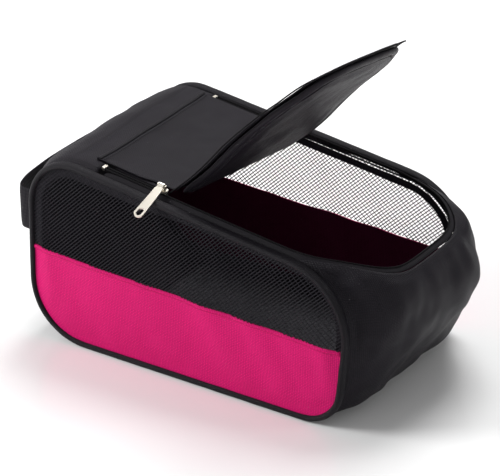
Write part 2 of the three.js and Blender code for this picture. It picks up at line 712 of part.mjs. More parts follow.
// ---- carry handle across the heel, sewn in at both side seams ----
const anchorY = wallEdge - HANDLE_SEAM_MARGIN;
const heelS = (() => {
  const along = (HANDLE_CENTRE - heelLine.start.y) / heelLine.direction.y;
  return heelLine.from + along;
})();
const anchorX = surfacePoint(heelS, anchorY, 0).x - ANCHOR_GAP - ANCHOR_THICKNESS;

for (const [name, side] of [['near', -1], ['far', 1]]) {
  const rows = steps(heelS - HANDLE_WIDTH / 2, heelS + HANDLE_WIDTH / 2, HANDLE_WIDTH / 4);
  const columns = steps(side * (anchorY - ANCHOR_LENGTH / 2), side * (anchorY + ANCHOR_LENGTH / 2), 3);
  addMesh(group, `${name}_handle_anchor`, slab(rows.length - 1, columns.length - 1, (i, j, inner) =>
    surfacePoint(rows[i], columns[j], -ANCHOR_GAP - ANCHOR_THICKNESS + inner * ANCHOR_THICKNESS)),
  WEBBING, 0.9);
}

// The strap bows away from the wall; its ends narrow so that it can swing about the sewn line.
function handleStrap() {
  const startX = anchorX - SWING_GAP;
  const angles = steps(0, 180, 7.5);
  const centreline = angles.map((a) => ({
    x: startX - HANDLE_THICKNESS / 2 - HANDLE_BOW * Math.sin(a * degrees) ** HANDLE_SQUARENESS,
    y: -anchorY * Math.cos(a * degrees),
    nx: -Math.sin(a * degrees),
    ny: -Math.cos(a * degrees),
  }));
  const heightAt = (x) => Math.min(HANDLE_WIDTH, HANDLE_END_WIDTH + HANDLE_FLARE * (startX - x)) / 2;
  return slab(centreline.length - 1, 4, (i, j, inner) => {
    const { x, y, nx, ny } = centreline[i];
    const out = HANDLE_THICKNESS * (0.5 - inner);
    const height = heightAt(x) * (j / 2 - 1);
    return new THREE.Vector3(x + nx * out, y + ny * out, HANDLE_CENTRE + height);
  });
}
addMesh(group, 'carry_handle', handleStrap(), WEBBING, 0.85);

export default group;
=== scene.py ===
# Looks of the golf shoe bag: its cloth, net, zip, lid, bindings and handle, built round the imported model.
# Metres, +Z up, +X towards the toe, -Y the near side.
import functools
import json
import math

import bmesh
import bpy
from mathutils import Matrix, Vector, kdtree, noise


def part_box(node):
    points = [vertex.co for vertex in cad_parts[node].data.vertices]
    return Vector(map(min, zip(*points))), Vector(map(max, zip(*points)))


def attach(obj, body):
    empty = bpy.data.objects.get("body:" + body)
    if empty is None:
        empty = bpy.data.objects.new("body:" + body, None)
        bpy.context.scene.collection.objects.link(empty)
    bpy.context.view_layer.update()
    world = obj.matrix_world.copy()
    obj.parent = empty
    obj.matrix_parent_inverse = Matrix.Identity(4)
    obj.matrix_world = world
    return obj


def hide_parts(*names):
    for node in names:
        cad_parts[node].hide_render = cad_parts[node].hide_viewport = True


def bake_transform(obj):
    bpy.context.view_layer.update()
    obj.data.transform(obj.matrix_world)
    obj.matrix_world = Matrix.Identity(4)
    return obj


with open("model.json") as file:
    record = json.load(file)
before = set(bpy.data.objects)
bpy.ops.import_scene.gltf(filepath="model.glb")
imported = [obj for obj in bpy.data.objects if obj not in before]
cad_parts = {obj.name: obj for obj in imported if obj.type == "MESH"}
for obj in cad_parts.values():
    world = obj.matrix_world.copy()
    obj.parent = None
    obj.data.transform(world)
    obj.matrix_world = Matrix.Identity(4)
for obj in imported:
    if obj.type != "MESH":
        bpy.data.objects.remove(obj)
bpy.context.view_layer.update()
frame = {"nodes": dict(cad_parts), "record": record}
nodes = frame["nodes"]
joints = {j["name"]: j for j in frame["record"]["behaviour"]["joints"]}

MM = 0.001
CLOTH_THICKNESS = 1.0 * MM
SIDE_CLOTH_THICKNESS = 0.9 * MM
PIPING_WIDTH = 5.8 * MM
PIPING_DEPTH = 9.0 * MM
PIPING_LAP = 4.2 * MM
NET_PITCH = {1: 3.9 * MM, -1: 6.4 * MM}
NET_STEP = 2.2 * MM
NET_SLOPE = 0.95
NET_STRAND = 0.48 * MM
HEM_WIDTH = 13 * MM
TOOTH_PITCH = 1.45 * MM
TOOTH_RADIUS = 0.62 * MM
TOP_LAP = 4.0 * MM
STITCH_PITCH = 3.2 * MM
STITCH_LENGTH = 2.3 * MM
STITCH_RADIUS = 0.28 * MM
TOOTH_LENGTH = 2.5 * MM
TEETH_RIBBON_WIDTH = 2.0 * MM
WEBBING_THICKNESS = 2.2 * MM

# The outer face of the piping is half the bag's width from its middle, and the side cloth lies inside it.
HALF_WIDTH = 105 * MM
SIDE_CLOTH_DEPTH = 2.6 * MM
# A cloth fades from its sewn edge to its full billow over this distance.
SEWN_EDGE = 20 * MM
# The fullest height of the side cloth's billow, of its slanting pulls and of its fine ripple.
SIDE_CROWN = 3.4 * MM
SIDE_PULL = 2.6 * MM
SIDE_RIPPLE = 0.5 * MM
# The toe wall's gathers, dents, creases and the broad bulge beside its middle.
TOE_GATHER = 2.4 * MM
TOE_DENT = 5.0 * MM
TOE_CREASE = 2.0 * MM
TOE_BULGE = 8.0 * MM
TOE_BULGE_Y, TOE_BULGE_Z = 45 * MM, 82 * MM
TOE_BULGE_HALF_WIDTH, TOE_BULGE_HALF_HEIGHT = 50 * MM, 45 * MM
# The heel wall leans out most at this height.
HEEL_LEAN = 9.0 * MM
HEEL_LEAN_Z = 142 * MM
HEEL_LEAN_SPREAD = 35 * MM
HEEL_BEHIND_X = -120 * MM
HEEL_WAVE = 3.2 * MM
HEEL_RIPPLE = 1.2 * MM
# The lid bows out past its middle and in near its fold.
LID_BOW_OUT = 3.6 * MM
LID_BOW_IN = 1.6 * MM
# The top cloth reaches this far back over the heel wall, and lies this far above it.
HEEL_REACH = 8 * MM
HEEL_RISE = 1.9 * MM
TOP_SLACK = 2.0 * MM
# Share of the top cloth's half width where its edge begins to lift over the zip.
EDGE_LIFT_START = 0.72
EDGE_LIFT = 1.0 * MM
PAD_CROWN = 1.6 * MM
PAD_THICKNESS = 5.4 * MM

SIDES = {"near": -1, "far": 1}
BAG_MIDDLE = Vector((0, 0, 0.08))
UNDER_LID = Vector((0.16, 0, 0.08))


@functools.cache
def box(node):
    """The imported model's two corners of a node."""
    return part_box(node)


# ---- camera, floor and light ----
def make_camera():
    """A long lens that looks down on the near side and the toe, moved a little sideways and up."""
    azimuth = math.radians(33.9)
    elevation = math.radians(27.72)
    roll = math.radians(-0.78)
    target = Vector((-0.0074, 0, 0.080))
    distance = 2.6
    sideways, upwards = 0.0133, 0.014
    back = Vector((math.sin(azimuth) * math.cos(elevation),
                   -math.cos(azimuth) * math.cos(elevation), math.sin(elevation)))
    level = Vector((math.cos(azimuth), math.sin(azimuth), 0))
    upright = back.cross(level)
    right = level * math.cos(roll) + upright * math.sin(roll)
    up = upright * math.cos(roll) - level * math.sin(roll)
    data = bpy.data.cameras.new("camera")
    data.lens = 204.8
    data.sensor_width = 36
    data.clip_end = 50
    camera = bpy.data.objects.new("camera", data)
    bpy.context.collection.objects.link(camera)
    turn = Matrix((right, up, back)).transposed().to_4x4()
    place = target + back * distance + right * sideways + up * upwards
    camera.matrix_world = Matrix.Translation(place) @ turn
    bpy.context.scene.camera = camera


def make_studio():
    bpy.context.scene.view_settings.view_transform = "Standard"
    world = bpy.data.worlds.new("studio")
    bpy.context.scene.world = world
    world.use_nodes = True
    sky = world.node_tree.nodes["Background"]
    sky.inputs["Color"].default_value = (1.0, 1.0, 1.0, 1)
    sky.inputs["Strength"].default_value = 0.40
    mesh = bpy.data.meshes.new("studio_floor")
    reach = 6.0
    mesh.from_pydata([(-reach, -reach, 0), (reach, -reach, 0), (reach, reach, 0), (-reach, reach, 0)],
                     [], [(0, 1, 2, 3)])
    floor = bpy.data.objects.new("studio_floor", mesh)
    bpy.context.collection.objects.link(floor)
    material, _, shader = new_material("studio_white")
    shader.inputs["Base Color"].default_value = (0.93, 0.93, 0.93, 1)
    shader.inputs["Roughness"].default_value = 0.16
    mesh.materials.append(material)

    def softbox(name, place, aim, size, watts):
        data = bpy.data.lights.new(name, "AREA")
        data.shape = "SQUARE"
        data.size = size
        data.energy = watts
        light = bpy.data.objects.new(name, data)
        bpy.context.collection.objects.link(light)
        light.location = place
        light.rotation_mode = "QUATERNION"
        light.rotation_quaternion = (Vector(aim) - Vector(place)).to_track_quat("-Z", "Y")

    softbox("key_softbox", (-1.9, -1.25, 1.25), (0, 0, 0.1), 0.9, 56)
    softbox("top_softbox", (-0.2, 0.9, 1.9), (0, 0, 0.1), 1.1, 36)
    softbox("toe_softbox", (2.1, 0.9, 0.9), (0.1, 0, 0.1), 0.5, 5)


# ---- finishes ----
def add_node(tree, kind, **settings):
    made = tree.nodes.new(kind)
    for name, value in settings.items():
        setattr(made, name, value)
    return made


def feed(tree, socket, value):
    if isinstance(value, bpy.types.NodeSocket):
        tree.links.new(value, socket)
    else:
        socket.default_value = value


def calculate(tree, operation, *values):
    made = add_node(tree, "ShaderNodeMath", operation=operation)
    for socket, value in zip(made.inputs, values):
        feed(tree, socket, value)
    return made.outputs[0]


def new_group(name, inputs, outputs):
    tree = bpy.data.node_groups.new(name, "ShaderNodeTree")
    for socket_name, kind in inputs:
        tree.interface.new_socket(socket_name, in_out="INPUT", socket_type=kind)
    for socket_name, kind in outputs:
        tree.interface.new_socket(socket_name, in_out="OUTPUT", socket_type=kind)
    entry = tree.nodes.new("NodeGroupInput")
    leave = tree.nodes.new("NodeGroupOutput")
    return tree, entry.outputs, leave.inputs


def weave_group():
    """Plain weave: crossing threads over and under each other, with thread-to-thread difference."""
    tree, given, out = new_group(
        "Plain weave",
        [("Coordinates", "NodeSocketVector"), ("Threads", "NodeSocketFloat")],
        [("Height", "NodeSocketFloat"), ("Thread tone", "NodeSocketFloat")])
    scaled = add_node(tree, "ShaderNodeVectorMath", operation="SCALE")
    feed(tree, scaled.inputs[0], given["Coordinates"])
    feed(tree, scaled.inputs["Scale"], given["Threads"])
    wobble = add_node(tree, "ShaderNodeTexNoise")
    feed(tree, wobble.inputs["Vector"], scaled.outputs[0])
    wobble.inputs["Scale"].default_value = 0.35
    shift = add_node(tree, "ShaderNodeVectorMath", operation="MULTIPLY_ADD")
    feed(tree, shift.inputs[0], wobble.outputs["Color"])
    shift.inputs[1].default_value = (0.5, 0.5, 0)
    feed(tree, shift.inputs[2], scaled.outputs[0])
    split = add_node(tree, "ShaderNodeSeparateXYZ")
    feed(tree, split.inputs[0], shift.outputs[0])
    across, along = split.outputs[0], split.outputs[1]
    square = calculate(tree, "ADD", calculate(tree, "FLOOR", across), calculate(tree, "FLOOR", along))
    over = calculate(tree, "ABSOLUTE", calculate(tree, "MODULO", square, 2.0))

    def crown(place):
        return calculate(tree, "SINE", calculate(tree, "MULTIPLY", calculate(tree, "FRACT", place), math.pi))

    crown_a, crown_b = crown(across), crown(along)
    warp = calculate(tree, "MULTIPLY", crown_a, calculate(tree, "MULTIPLY_ADD", crown_b, 0.5, 0.5))
    weft = calculate(tree, "MULTIPLY", crown_b, calculate(tree, "MULTIPLY_ADD", crown_a, 0.5, 0.5))
    mix = add_node(tree, "ShaderNodeMix", data_type="FLOAT")
    feed(tree, mix.inputs[0], over)
    feed(tree, mix.inputs[2], warp)
    feed(tree, mix.inputs[3], calculate(tree, "MULTIPLY", weft, 0.82))
    feed(tree, out["Height"], mix.outputs[0])
    threads = add_node(tree, "ShaderNodeTexNoise")
    feed(tree, threads.inputs["Vector"], given["Coordinates"])
    threads.inputs["Scale"].default_value = 420.0
    threads.inputs["Detail"].default_value = 1.0
    feed(tree, out["Thread tone"], threads.outputs[0])
    return tree


def rib_group():
    """Close ribs across a tape or a webbing, each broken by the threads that bind it."""
    tree, given, out = new_group(
        "Ribbed webbing",
        [("Coordinates", "NodeSocketVector"), ("Ribs", "NodeSocketFloat")],
        [("Height", "NodeSocketFloat"), ("Thread tone", "NodeSocketFloat")])
    split = add_node(tree, "ShaderNodeSeparateXYZ")
    feed(tree, split.inputs[0], given["Coordinates"])
    along = calculate(tree, "MULTIPLY", split.outputs[0], given["Ribs"])
    across = calculate(tree, "MULTIPLY", split.outputs[1], calculate(tree, "MULTIPLY", given["Ribs"], 0.55))

    def ridge(place):
        wave = calculate(tree, "SINE", calculate(tree, "MULTIPLY", place, math.pi))
        return calculate(tree, "ABSOLUTE", wave)

    rib, bind = ridge(along), ridge(across)
    height = calculate(tree, "MULTIPLY", rib, calculate(tree, "MULTIPLY_ADD", bind, 0.45, 0.55))
    feed(tree, out["Height"], height)
    threads = add_node(tree, "ShaderNodeTexNoise")
    feed(tree, threads.inputs["Vector"], given["Coordinates"])
    threads.inputs["Scale"].default_value = 300.0
    feed(tree, out["Thread tone"], threads.outputs[0])
    return tree


def wear_group():
    """Broad, soft difference of tone, with faint dusty patches and lint specks."""
    tree, given, out = new_group(
        "Handling wear",
        [("Coordinates", "NodeSocketVector"), ("Strength", "NodeSocketFloat")],
        [("Tone", "NodeSocketFloat"), ("Lint", "NodeSocketFloat")])
    broad = add_node(tree, "ShaderNodeTexNoise")
    feed(tree, broad.inputs["Vector"], given["Coordinates"])
    broad.inputs["Scale"].default_value = 14.0
    broad.inputs["Detail"].default_value = 4.0
    centred = calculate(tree, "SUBTRACT", broad.outputs[0], 0.5)
    feed(tree, out["Tone"], calculate(tree, "MULTIPLY_ADD", centred, given["Strength"], 0.5))
    specks = add_node(tree, "ShaderNodeTexVoronoi")
    feed(tree, specks.inputs["Vector"], given["Coordinates"])
    specks.inputs["Scale"].default_value = 95.0
    near = calculate(tree, "LESS_THAN", specks.outputs["Distance"], 0.045)
    feed(tree, out["Lint"], near)
    return tree


WEAVE = weave_group()
RIBS = rib_group()
WEAR = wear_group()


def use_group(tree, group, **values):
    made = add_node(tree, "ShaderNodeGroup", node_tree=group)
    for name, value in values.items():
        feed(tree, made.inputs[name], value)
    return made.outputs


def mix_colour(tree, share, first, second):
    mix = add_node(tree, "ShaderNodeMix", data_type="RGBA")
    feed(tree, mix.inputs[0], share)
    feed(tree, mix.inputs[6], first)
    feed(tree, mix.inputs[7], second)
    return mix.outputs[2]


def new_material(name):
    material = bpy.data.materials.new(name)
    material.use_nodes = True
    tree = material.node_tree
    return material, tree, tree.nodes["Principled BSDF"]


def cloth(name, dark, light, pitch, relief, roughness=0.62, sheen=0.25, ribbed=False):
    """Woven cloth: each thread's crown painted lighter as a painted highlight and the gaps between threads
    painted darker as painted shade, with worn and dusty patches.
    """
    material, tree, shader = new_material(name)
    place = add_node(tree, "ShaderNodeUVMap", uv_map="cloth").outputs[0]
    solid = add_node(tree, "ShaderNodeTexCoord").outputs["Object"]
    if ribbed:
        woven = use_group(tree, RIBS, Coordinates=place, Ribs=1 / pitch)
    else:
        woven = use_group(tree, WEAVE, Coordinates=place, Threads=1 / pitch)
    worn = use_group(tree, WEAR, Coordinates=solid, Strength=0.5)
    patch = calculate(tree, "SUBTRACT", worn["Tone"], 0.5)
    thread = calculate(tree, "MULTIPLY_ADD", woven["Thread tone"], 0.5, patch)
    # The weave's height mixes dark, the painted shade between threads, into light, the thread colour with a
    # painted highlight on each crown.
    share = calculate(tree, "MULTIPLY", woven["Height"], calculate(tree, "ADD", thread, 0.55))
    colour = mix_colour(tree, share, (*dark, 1), (*light, 1))
    dusty = calculate(tree, "MULTIPLY", worn["Lint"], 0.18)
    colour = mix_colour(tree, dusty, colour, (0.45, 0.44, 0.45, 1))
    feed(tree, shader.inputs["Base Color"], colour)
    rough = calculate(tree, "MULTIPLY_ADD", woven["Height"], -0.16, roughness + 0.12)
    feed(tree, shader.inputs["Roughness"], rough)
    shader.inputs["Sheen Weight"].default_value = sheen
    shader.inputs["Sheen Roughness"].default_value = 0.45
    shader.inputs["Sheen Tint"].default_value = (*light, 1)
    shader.inputs["Specular IOR Level"].default_value = 0.17
    bump = add_node(tree, "ShaderNodeBump")
    bump.inputs["Strength"].default_value = relief
    bump.inputs["Distance"].default_value = 0.5 * MM
    feed(tree, bump.inputs["Height"], woven["Height"])
    feed(tree, shader.inputs["Normal"], bump.outputs[0])
    return material


def plastic(name, colour, roughness):
    """Dull plastic, unevenly rubbed."""
    material, tree, shader = new_material(name)
    solid = add_node(tree, "ShaderNodeTexCoord").outputs["Object"]
    worn = use_group(tree, WEAR, Coordinates=solid, Strength=0.8)
    shader.inputs["Specular IOR Level"].default_value = 0.12
    lighter = tuple(min(1, c * 1.9 + 0.004) for c in colour)
    feed(tree, shader.inputs["Base Color"], mix_colour(tree, worn["Tone"], (*colour, 1), (*lighter, 1)))
    rubbed = calculate(tree, "MULTIPLY_ADD", worn["Tone"], 0.2, roughness - 0.1)
    feed(tree, shader.inputs["Roughness"], rubbed)
    return material


def satin_metal(name):
    """Pale plated zinc, a little duller where it is handled."""
    material, tree, shader = new_material(name)
    solid = add_node(tree, "ShaderNodeTexCoord").outputs["Object"]
    worn = use_group(tree, WEAR, Coordinates=solid, Strength=0.9)
    colour = mix_colour(tree, worn["Tone"], (0.72, 0.66, 0.56, 1), (0.90, 0.86, 0.78, 1))
    feed(tree, shader.inputs["Base Color"], colour)
    shader.inputs["Metallic"].default_value = 1.0
    feed(tree, shader.inputs["Roughness"], calculate(tree, "MULTIPLY_ADD", worn["Tone"], 0.16, 0.22))
    return material


# Each cloth is given dark, its painted shade between threads, and light, its thread colour with the painted
# highlight on the crowns.
PINK = cloth("pink_oxford", (0.42, 0.0, 0.09), (1.0, 0.014, 0.235),
             pitch=1.7 * MM, relief=0.6, sheen=0.03)
# The inside of the pink cloth: the coated backing's own darker colour, deepened to dark maroon as painted
# shade.
MAROON = cloth("pink_backing_and_painted_shade", (0.040, 0.0, 0.013), (0.13, 0.002, 0.045),
               pitch=1.6 * MM, relief=0.3, sheen=0.05)
BLACK = cloth("black_oxford", (0.0020, 0.0015, 0.0034), (0.0190, 0.0145, 0.0220),
              pitch=1.4 * MM, relief=0.7, roughness=0.45, sheen=0.03)
PIPING = cloth("black_piping", (0.0016, 0.0013, 0.0028), (0.0130, 0.0100, 0.0150),
               pitch=1.1 * MM, relief=0.6, roughness=0.42, sheen=0.03)
LINING = cloth("charcoal_lining", (0.0070, 0.0055, 0.0085), (0.0300, 0.0245, 0.0330),
               pitch=0.8 * MM, relief=0.3, roughness=0.45, sheen=0.05)
HEM = cloth("hem_cloth", (0.012, 0.011, 0.015), (0.060, 0.056, 0.066),
            pitch=1.5 * MM, relief=0.5, sheen=0.2)
NET = cloth("net_yarn", (0.006, 0.005, 0.008), (0.040, 0.036, 0.045),
            pitch=0.7 * MM, relief=0.3, sheen=0.05)
WEBBING = cloth("black_webbing", (0.0020, 0.0016, 0.0030), (0.0180, 0.0145, 0.0205),
                pitch=1.7 * MM, relief=0.9, ribbed=True, sheen=0.03)
TAPE = cloth("zip_tape_weave", (0.0020, 0.0016, 0.0030), (0.0150, 0.0120, 0.0170),
             pitch=0.9 * MM, relief=0.6, ribbed=True, sheen=0.03)
THREAD = cloth("sewing_thread", (0.010, 0.009, 0.012), (0.060, 0.055, 0.066),
               pitch=0.5 * MM, relief=0.3)
COIL = plastic("coil_nylon", (0.004, 0.0035, 0.0045), 0.6)
BOARD = plastic("board_plastic", (0.040, 0.040, 0.044), 0.55)
METAL = satin_metal("pale_plated_metal")


# ---- mesh tools ----
def link_object(name, mesh, *materials):
    made = bpy.data.objects.new(name, mesh)
    bpy.context.collection.objects.link(made)
    for material in materials:
        mesh.materials.append(material)
    return made


def from_faces(name, points, faces, *materials):
    mesh = bpy.data.meshes.new(name)
    mesh.from_pydata([tuple(p) for p in points], [], faces)
    mesh.validate()
    return link_object(name, mesh, *materials)


def bake(piece):
    """Turns what the modifiers make into the piece's own plain mesh."""
    graph = bpy.context.evaluated_depsgraph_get()
    mesh = bpy.data.meshes.new_from_object(piece.evaluated_get(graph))
    old = piece.data
    piece.modifiers.clear()
    piece.data = mesh
    bpy.data.meshes.remove(old)
    mesh.name = piece.name
    return piece


def lay_cloth_grain(piece):
    """Gives every face its place on the cloth, in metres, as seen along the face's main direction."""
    mesh = piece.data
    layer = mesh.uv_layers.get("cloth") or mesh.uv_layers.new(name="cloth")
    for polygon in mesh.polygons:
        n = [abs(c) for c in polygon.normal]
        main = n.index(max(n))
        a, b = [(1, 2), (0, 2), (0, 1)][main]
        for corner in polygon.loop_indices:
            p = mesh.vertices[mesh.loops[corner].vertex_index].co
            layer.data[corner].uv = (p[a], p[b])


def finish_piece(piece, body, slot, *stands_for):
    """Smooth shading, a cloth grain, the piece's body and its replaced nodes hidden; slot is not used."""
    for polygon in piece.data.polygons:
        polygon.use_smooth = True
    if not piece.data.uv_layers.get("cloth"):
        lay_cloth_grain(piece)
    if body:
        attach(piece, body)
    if stands_for:
        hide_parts(*stands_for)
    return piece


def subdivide(piece, levels):
    made = piece.modifiers.new("round", "SUBSURF")
    made.levels = levels
    made.render_levels = levels
    made.boundary_smooth = "PRESERVE_CORNERS"
    return bake(piece)


def thicken(piece, thickness, inner_material=0):
    made = piece.modifiers.new("cloth", "SOLIDIFY")
    made.thickness = thickness
    made.offset = -1
    made.material_offset = inner_material
    made.use_even_offset = False
    return bake(piece)


def merged_copy(node):
    bm = bmesh.new()
    bm.from_mesh(nodes[node].data)
    bmesh.ops.remove_doubles(bm, verts=bm.verts, dist=0.01 * MM)
    bm.normal_update()
    return bm


def join_into_quads(bm):
    bmesh.ops.join_triangles(bm, faces=bm.faces, angle_face_threshold=math.radians(40),
                             angle_shape_threshold=math.radians(60))


def skin_of(node, inside, facing_in=False):
    """One side of a cloth node, without its rims and its other side."""
    sharp = math.radians(50)
    bm = merged_copy(node)
    sense = -1 if facing_in else 1

    def facing(face):
        out = (face.calc_center_median() - inside).normalized()
        return sense * face.normal.dot(out) * face.calc_area()

    start = max(bm.faces, key=facing)
    kept = {start}
    waiting = [start]
    while waiting:
        face = waiting.pop()
        for edge in face.edges:
            for other in edge.link_faces:
                if other not in kept and face.normal.angle(other.normal, 0) < sharp:
                    kept.add(other)
                    waiting.append(other)
    bmesh.ops.delete(bm, geom=[f for f in bm.faces if f not in kept], context="FACES")
    join_into_quads(bm)
    return bm


def from_bmesh(name, bm, *materials):
    mesh = bpy.data.meshes.new(name)
    bm.to_mesh(mesh)
    bm.free()
    return link_object(name, mesh, *materials)


def smooth_step(t):
    t = max(0.0, min(1.0, t))
    return t * t * (3 - 2 * t)


def edge_distance(mesh):
    """How far each point of a sheet is from the sheet's nearest edge."""
    counts = {}
    for polygon in mesh.polygons:
        for key in polygon.edge_keys:
            counts[key] = counts.get(key, 0) + 1
    rim = {v for key, n in counts.items() if n == 1 for v in key}
    tree = kdtree.KDTree(len(rim))
    for v in rim:
        tree.insert(mesh.vertices[v].co, v)
    tree.balance()
    return [tree.find(v.co)[2] for v in mesh.vertices]


def shape_cloth(piece, displacement, edge=0.012):
    """Moves a sheet's points along their normals, fading out towards its sewn edges."""
    mesh = piece.data
    away = edge_distance(mesh)
    moves = []
    for vertex, distance in zip(mesh.vertices, away):
        moves.append(vertex.normal * (displacement(vertex.co) * smooth_step(distance / edge)))
    for vertex, move in zip(mesh.vertices, moves):
        vertex.co += move
    mesh.update()
    return piece


def folds(p, size, seed):
    """Soft waves of about the given size; the seed picks which."""
    return noise.fractal(p / size + Vector((seed, seed * 0.7, -seed)), 0.8, 2.1, 3)


def slack(amount, size, seed):
    """Folds of a given height, as a displacement."""
    return lambda p: amount * folds(p, size, seed)


# ---- the bag's side outline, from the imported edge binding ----
def side_outline(node, spacing):
    """Evenly spaced points and outward directions round the outside of a side, seen from the side."""
    points = sorted({(round(v.co.x, 6), round(v.co.z, 6)) for v in nodes[node].data.vertices})

    def turns_right(a, b, c):
        return (b[0] - a[0]) * (c[1] - a[1]) <= (b[1] - a[1]) * (c[0] - a[0])

    def half_hull(ordered):
        hull = []
        for p in ordered:
            while len(hull) > 1 and turns_right(hull[-2], hull[-1], p):
                hull.pop()
            hull.append(p)
        return hull[:-1]

    hull = [Vector(p) for p in half_hull(points) + half_hull(points[::-1])]
    ring = hull + [hull[0]]
    lengths = [0.0]
    for a, b in zip(ring, ring[1:]):
        lengths.append(lengths[-1] + (b - a).length)
    count = int(lengths[-1] / spacing)
    result = []
    k = 0
    for i in range(count):
        wanted = lengths[-1] * i / count
        while lengths[k + 1] < wanted:
            k += 1
        t = (wanted - lengths[k]) / (lengths[k + 1] - lengths[k])
        result.append(ring[k].lerp(ring[k + 1], t))
    for _ in range(3):
        result = [(result[i - 1] + result[i] * 2 + result[(i + 1) % count]) / 4 for i in range(count)]
    outline = []
    for i, p in enumerate(result):
        along = (result[(i + 1) % count] - result[i - 1]).normalized()
        outline.append((p, Vector((along.y, -along.x))))
    return outline


class SideShape:
    """A side of the bag: its outline, and how low and high its cloth reaches at every x."""

    def __init__(self, name, side):
        self.name = name
        self.side = side
        self.outline = side_outline(f"{name}_edge_binding", 3 * MM)
        ring = [p - n * PIPING_LAP for p, n in self.outline]
        self.left = min(p.x for p in ring)
        self.right = max(p.x for p in ring)
        self.steps = 400
        self.spans = []
        for i in range(self.steps + 1):
            x = self.left + (self.right - self.left) * (0.001 + 0.998 * i / self.steps)
            crossings = [a.y + (b.y - a.y) * (x - a.x) / (b.x - a.x)
                         for a, b in zip(ring, ring[1:] + ring[:1]) if (a.x <= x) != (b.x <= x)]
            self.spans.append((min(crossings), max(crossings)))

    def limits(self, x):
        at = (x - self.left) / (self.right - self.left) * self.steps
        at = max(0.0, min(self.steps - 0.001, at))
        k = int(at)
        low, high = self.spans[k]
        low_next, high_next = self.spans[k + 1]
        return low + (low_next - low) * (at - k), high + (high_next - high) * (at - k)

    def seam(self, x):
        """Height of the seam between the lower cloth and the net."""
        lower, upper = box(f"{self.name}_side_panel"), box(f"{self.name}_mesh_panel")
        left, right = lower[0][0], lower[1][0]
        high, low = lower[1][2], upper[0][2]
        return high + (low - high) * (x - left) / (right - left)

    def path_inside(self, depth, y):
        """The outline drawn in by a depth, y from the bag's middle, as a path to sweep along."""
        return [(Vector((p.x - n.x * depth, self.side * y, p.y - n.y * depth)),
                 Vector((n.x, 0, n.y)), Vector((0, self.side, 0))) for p, n in self.outline]

    def net_area(self):
        """Area of the side above the seam."""
        step = (self.right - self.left) / self.steps
        total = 0.0
        for i in range(self.steps):
            x = self.left + (i + 0.5) * step
            low, high = self.limits(x)
            total += max(0.0, high - max(low, self.seam(x))) * step
        return total

    def point(self, x, z, behind=0.0):
        """A point on the side's cloth, standing out of its plane between its sewn edges."""
        low, high = self.limits(x)
        hold = smooth_step(min(z - low, high - z, x - self.left, self.right - x) / SEWN_EDGE)
        plane = HALF_WIDTH - SIDE_CLOTH_DEPTH - behind
        return Vector((x, self.side * (plane + hold * side_stand(x, z, low, high)), z))


def turn_outward(piece):
    bm = bmesh.new()
    bm.from_mesh(piece.data)
    bmesh.ops.recalc_face_normals(bm, faces=bm.faces)
    bm.to_mesh(piece.data)
    bm.free()


def oval(half_width, half_height, sides):
    """Corners of an oval cross-section."""
    angles = [2 * math.pi * k / sides for k in range(sides)]
    return [(half_width * math.cos(a), half_height * math.sin(a)) for a in angles]


def sweep(name, path, section, material, closed=True):
    """A cross-section carried along a path; each path step is (centre, right, up)."""
    points, faces = [], []
    sides = len(section(0))
    for i, (centre, right, up) in enumerate(path):
        points += [centre + right * a + up * b for a, b in section(i)]
    steps = len(path) if closed else len(path) - 1
    for i in range(steps):
        j = (i + 1) % len(path)
        for k in range(sides):
            m = (k + 1) % sides
            faces.append((i * sides + k, j * sides + k, j * sides + m, i * sides + m))
    if not closed:
        faces.append(tuple(range(sides))[::-1])
        faces.append(tuple((len(path) - 1) * sides + k for k in range(sides)))
    made = from_faces(name, points, faces, material)
    turn_outward(made)
    lengths = [0.0]
    for i in range(steps):
        lengths.append(lengths[-1] + (path[(i + 1) % len(path)][0] - path[i][0]).length)
    layer = made.data.uv_layers.new(name="cloth")
    first = [Vector(corner) for corner in section(0)]
    girth = sum((a - b).length for a, b in zip(first, first[1:] + first[:1]))
    for polygon in made.data.polygons[: steps * sides]:
        i, k = divmod(polygon.index, sides)
        for corner in polygon.loop_indices:
            v = made.data.loops[corner].vertex_index
            ring, side = divmod(v, sides)
            u = lengths[i] if ring == i else lengths[i + 1]
            w = girth * (side if side or k == 0 else sides) / sides
            layer.data[corner].uv = (u, w)
    return made


# ---- repeated small parts, made with geometry nodes ----
def repeat_tree(name, build):
    """A tree whose named inputs are a geometry, a length, a radius and a material."""
    tree = bpy.data.node_groups.new(name, "GeometryNodeTree")
    for socket_name, kind in (("Geometry", "Geometry"), ("Length", "Float"), ("Radius", "Float"),
                              ("Material", "Material")):
        tree.interface.new_socket(socket_name, in_out="INPUT", socket_type=f"NodeSocket{kind}")
    tree.interface.new_socket("Geometry", in_out="OUTPUT", socket_type="NodeSocketGeometry")
    entry = tree.nodes.new("NodeGroupInput").outputs
    geometry = build(tree, entry)
    joined = tree.nodes.new("GeometryNodeRealizeInstances")
    tree.links.new(geometry, joined.inputs[0])
    coloured = tree.nodes.new("GeometryNodeSetMaterial")
    tree.links.new(joined.outputs[0], coloured.inputs["Geometry"])
    tree.links.new(entry["Material"], coloured.inputs["Material"])
    leave = tree.nodes.new("NodeGroupOutput")
    tree.links.new(coloured.outputs[0], leave.inputs[0])
    return tree


